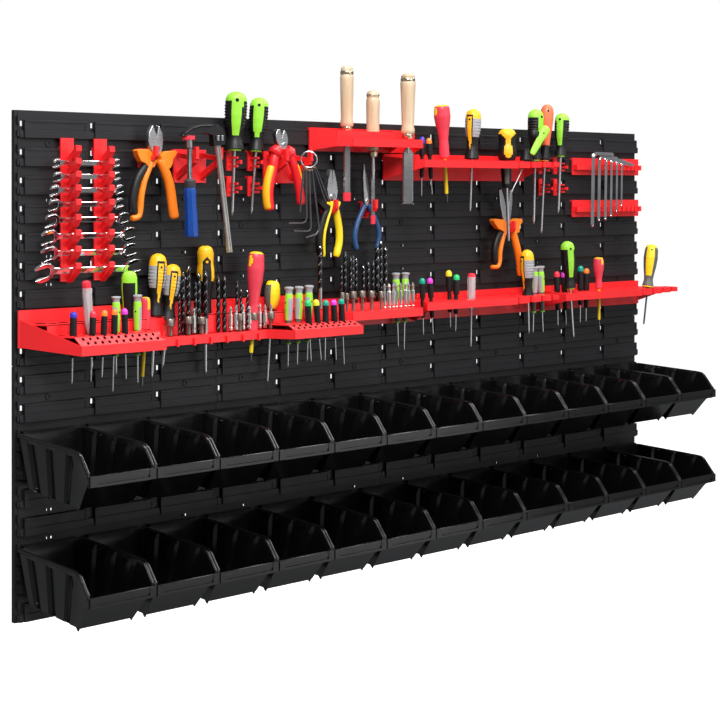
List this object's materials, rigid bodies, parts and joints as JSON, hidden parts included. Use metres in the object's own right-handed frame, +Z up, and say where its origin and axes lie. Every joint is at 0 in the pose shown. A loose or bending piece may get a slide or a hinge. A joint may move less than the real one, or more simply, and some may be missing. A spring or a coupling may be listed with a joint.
{
  "type": "tool storage wall",
  "caption": "Louvred plastic wall panels with two rows of lift-off open bins, clip-on red holders, trays and racks, and hand tools standing in the racks.",
  "frame": {"origin": "point on the wall's rear plane where the four middle panels meet, halfway along and halfway up the panel field", "axes": "+X right along the wall, +Y into the wall it hangs on (the wall faces -Y), +Z up"},
  "size_m": [1.5844, 0.2094, 0.8782],
  "materials": {
    "panel_plastic": "moulded charcoal plastic, fine texture",
    "bin_plastic": "glossy black moulding",
    "holder_plastic": "bright red satin moulding",
    "tool_wood": "light turned hardwood, lacquered"
  },
  "bodies": {
    "wall": {"panel_top_1": "panel_plastic", "panel_top_2": "panel_plastic", "panel_top_3": "panel_plastic", "panel_top_4": "panel_plastic", "panel_bottom_1": "panel_plastic", "panel_bottom_2": "panel_plastic", "panel_bottom_3": "panel_plastic", "panel_bottom_4": "panel_plastic", "hook_cutters": "holder_plastic", "bracket_clamp": "holder_plastic", "bracket_pliers": "holder_plastic", "hook_yellow_pliers": "holder_plastic", "hook_blue_pliers": "holder_plastic", "hook_snips": "holder_plastic", "wrench_strip_left": "holder_plastic", "wrench_strip_right": "holder_plastic", "clip_left_1": "holder_plastic", "clip_left_2": "holder_plastic", "clip_left_3": "holder_plastic", "clip_left_4": "holder_plastic", "clip_right_1": "holder_plastic", "clip_right_2": "holder_plastic", "clip_right_3": "holder_plastic", "clip_right_4": "holder_plastic", "hex_key_rack_upper": "holder_plastic", "hex_key_rack_lower": "holder_plastic", "chisel_rack": "holder_plastic", "shelf_middle": "holder_plastic", "driver_rack_top": "holder_plastic", "driver_rack_middle": "holder_plastic", "driver_rack_right": "holder_plastic", "tray_left": "holder_plastic"},
    "bin_upper_01": {"bin_upper_01": "bin_plastic"},
    "bin_upper_02": {"bin_upper_02": "bin_plastic"},
    "bin_upper_03": {"bin_upper_03": "bin_plastic"},
    "bin_upper_04": {"bin_upper_04": "bin_plastic"},
    "bin_upper_05": {"bin_upper_05": "bin_plastic"},
    "bin_upper_06": {"bin_upper_06": "bin_plastic"},
    "bin_upper_07": {"bin_upper_07": "bin_plastic"},
    "bin_upper_08": {"bin_upper_08": "bin_plastic"},
    "bin_upper_09": {"bin_upper_09": "bin_plastic"},
    "bin_upper_10": {"bin_upper_10": "bin_plastic"},
    "bin_upper_11": {"bin_upper_11": "bin_plastic"},
    "bin_upper_12": {"bin_upper_12": "bin_plastic"},
    "bin_upper_13": {"bin_upper_13": "bin_plastic"},
    "bin_lower_01": {"bin_lower_01": "bin_plastic"},
    "bin_lower_02": {"bin_lower_02": "bin_plastic"},
    "bin_lower_03": {"bin_lower_03": "bin_plastic"},
    "bin_lower_04": {"bin_lower_04": "bin_plastic"},
    "bin_lower_05": {"bin_lower_05": "bin_plastic"},
    "bin_lower_06": {"bin_lower_06": "bin_plastic"},
    "bin_lower_07": {"bin_lower_07": "bin_plastic"},
    "bin_lower_08": {"bin_lower_08": "bin_plastic"},
    "bin_lower_09": {"bin_lower_09": "bin_plastic"},
    "bin_lower_10": {"bin_lower_10": "bin_plastic"},
    "bin_lower_11": {"bin_lower_11": "bin_plastic"},
    "bin_lower_12": {"bin_lower_12": "bin_plastic"},
    "bin_lower_13": {"bin_lower_13": "bin_plastic"},
    "chisel_long": {"chisel_long": "tool_wood"},
    "chisel_wide": {"chisel_wide": "tool_wood"}
  },
  "joints": [
    {"name": "bin_upper_01_lift", "type": "slide", "parent": "wall", "child": "bin_upper_01", "axis": [0, 0, 1], "range_m": [0, 0.011]},
    {"name": "bin_upper_02_lift", "type": "slide", "parent": "wall", "child": "bin_upper_02", "axis": [0, 0, 1], "range_m": [0, 0.011]},
    {"name": "bin_upper_03_lift", "type": "slide", "parent": "wall", "child": "bin_upper_03", "axis": [0, 0, 1], "range_m": [0, 0.011]},
    {"name": "bin_upper_04_lift", "type": "slide", "parent": "wall", "child": "bin_upper_04", "axis": [0, 0, 1], "range_m": [0, 0.011]},
    {"name": "bin_upper_05_lift", "type": "slide", "parent": "wall", "child": "bin_upper_05", "axis": [0, 0, 1], "range_m": [0, 0.011]},
    {"name": "bin_upper_06_lift", "type": "slide", "parent": "wall", "child": "bin_upper_06", "axis": [0, 0, 1], "range_m": [0, 0.011]},
    {"name": "bin_upper_07_lift", "type": "slide", "parent": "wall", "child": "bin_upper_07", "axis": [0, 0, 1], "range_m": [0, 0.011]},
    {"name": "bin_upper_08_lift", "type": "slide", "parent": "wall", "child": "bin_upper_08", "axis": [0, 0, 1], "range_m": [0, 0.011]},
    {"name": "bin_upper_09_lift", "type": "slide", "parent": "wall", "child": "bin_upper_09", "axis": [0, 0, 1], "range_m": [0, 0.011]},
    {"name": "bin_upper_10_lift", "type": "slide", "parent": "wall", "child": "bin_upper_10", "axis": [0, 0, 1], "range_m": [0, 0.011]},
    {"name": "bin_upper_11_lift", "type": "slide", "parent": "wall", "child": "bin_upper_11", "axis": [0, 0, 1], "range_m": [0, 0.011]},
    {"name": "bin_upper_12_lift", "type": "slide", "parent": "wall", "child": "bin_upper_12", "axis": [0, 0, 1], "range_m": [0, 0.011]},
    {"name": "bin_upper_13_lift", "type": "slide", "parent": "wall", "child": "bin_upper_13", "axis": [0, 0, 1], "range_m": [0, 0.011]},
    {"name": "bin_lower_01_lift", "type": "slide", "parent": "wall", "child": "bin_lower_01", "axis": [0, 0, 1], "range_m": [0, 0.011]},
    {"name": "bin_lower_02_lift", "type": "slide", "parent": "wall", "child": "bin_lower_02", "axis": [0, 0, 1], "range_m": [0, 0.011]},
    {"name": "bin_lower_03_lift", "type": "slide", "parent": "wall", "child": "bin_lower_03", "axis": [0, 0, 1], "range_m": [0, 0.011]},
    {"name": "bin_lower_04_lift", "type": "slide", "parent": "wall", "child": "bin_lower_04", "axis": [0, 0, 1], "range_m": [0, 0.011]},
    {"name": "bin_lower_05_lift", "type": "slide", "parent": "wall", "child": "bin_lower_05", "axis": [0, 0, 1], "range_m": [0, 0.011]},
    {"name": "bin_lower_06_lift", "type": "slide", "parent": "wall", "child": "bin_lower_06", "axis": [0, 0, 1], "range_m": [0, 0.011]},
    {"name": "bin_lower_07_lift", "type": "slide", "parent": "wall", "child": "bin_lower_07", "axis": [0, 0, 1], "range_m": [0, 0.011]},
    {"name": "bin_lower_08_lift", "type": "slide", "parent": "wall", "child": "bin_lower_08", "axis": [0, 0, 1], "range_m": [0, 0.011]},
    {"name": "bin_lower_09_lift", "type": "slide", "parent": "wall", "child": "bin_lower_09", "axis": [0, 0, 1], "range_m": [0, 0.011]},
    {"name": "bin_lower_10_lift", "type": "slide", "parent": "wall", "child": "bin_lower_10", "axis": [0, 0, 1], "range_m": [0, 0.011]},
    {"name": "bin_lower_11_lift", "type": "slide", "parent": "wall", "child": "bin_lower_11", "axis": [0, 0, 1], "range_m": [0, 0.011]},
    {"name": "bin_lower_12_lift", "type": "slide", "parent": "wall", "child": "bin_lower_12", "axis": [0, 0, 1], "range_m": [0, 0.011]},
    {"name": "bin_lower_13_lift", "type": "slide", "parent": "wall", "child": "bin_lower_13", "axis": [0, 0, 1], "range_m": [0, 0.011]},
    {"name": "chisel_long_lift", "type": "slide", "parent": "wall", "child": "chisel_long", "axis": [0, 0, 1], "range_m": [0, 0.13]},
    {"name": "chisel_wide_lift", "type": "slide", "parent": "wall", "child": "chisel_wide", "axis": [0, 0, 1], "range_m": [0, 0.125]}
  ]
}
